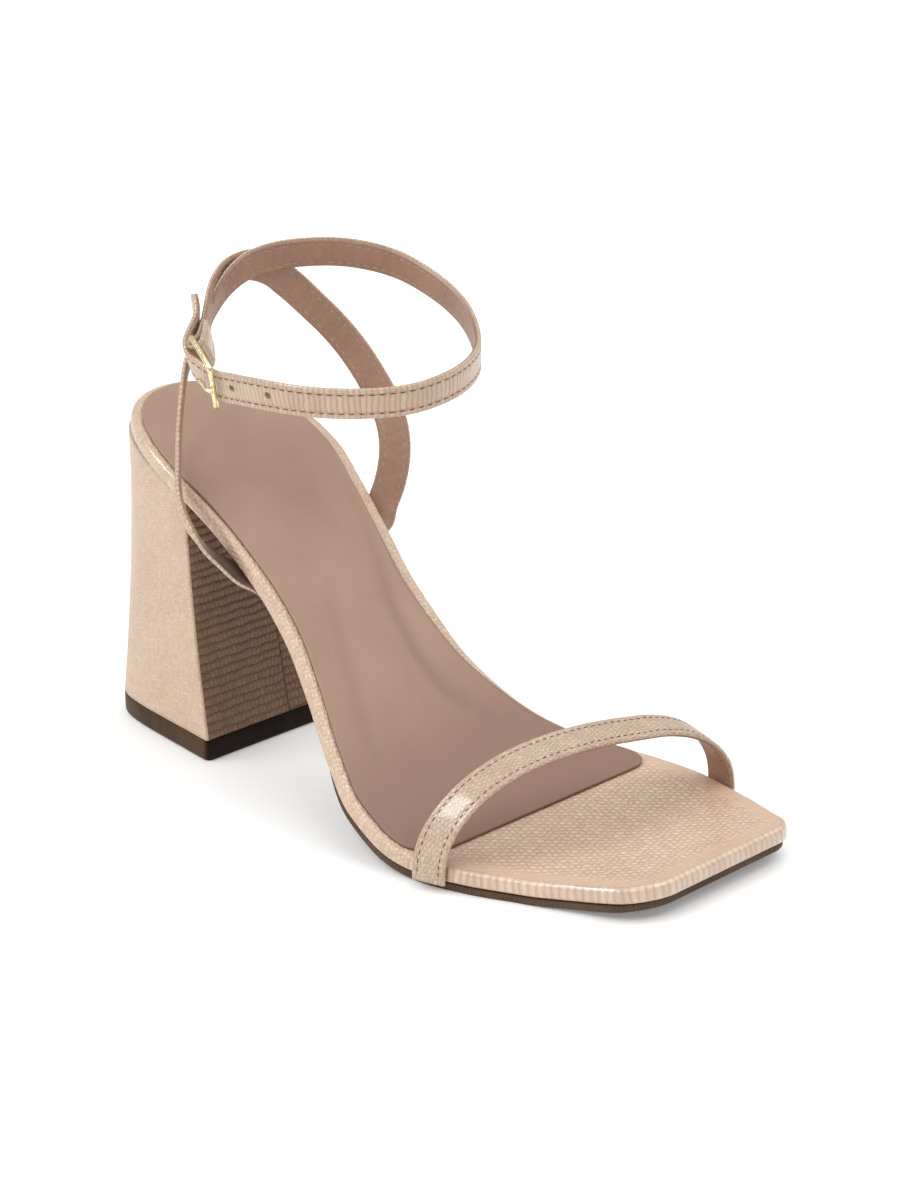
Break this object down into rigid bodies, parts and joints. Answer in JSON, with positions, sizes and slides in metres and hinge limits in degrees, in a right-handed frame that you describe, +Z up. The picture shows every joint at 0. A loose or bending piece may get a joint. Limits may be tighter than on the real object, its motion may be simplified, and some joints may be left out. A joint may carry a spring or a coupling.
{
  "type": "block heel ankle strap sandal",
  "caption": "Women's dress sandal for the right foot with a square open toe, a narrow toe strap, a crossed ankle strap with a buckle, and a tall covered block heel.",
  "frame": {"origin": "middle of the heel's top piece, on the floor", "axes": "+X along the shoe towards the toe, +Y towards the inner side of the foot, +Z up"},
  "size_m": [0.2125, 0.0996, 0.1413],
  "materials": {
    "lizard_leather": "beige leather embossed with small scales, low gloss",
    "lining_leather": "smooth taupe lining, satin",
    "outsole_rubber": "taupe brown moulded sole, matt",
    "top_piece_rubber": "dark brown, satin",
    "gilt_metal": "pale gold plating, polished"
  },
  "bodies": {
    "root": {"footbed": "lizard_leather", "sock": "lining_leather", "outsole": "outsole_rubber", "heel": "lizard_leather", "top_piece": "top_piece_rubber", "toe_strap": "lizard_leather", "ankle_strap": "lizard_leather", "buckle_frame": "gilt_metal", "buckle_prong": "gilt_metal"}
  },
  "joints": []
}
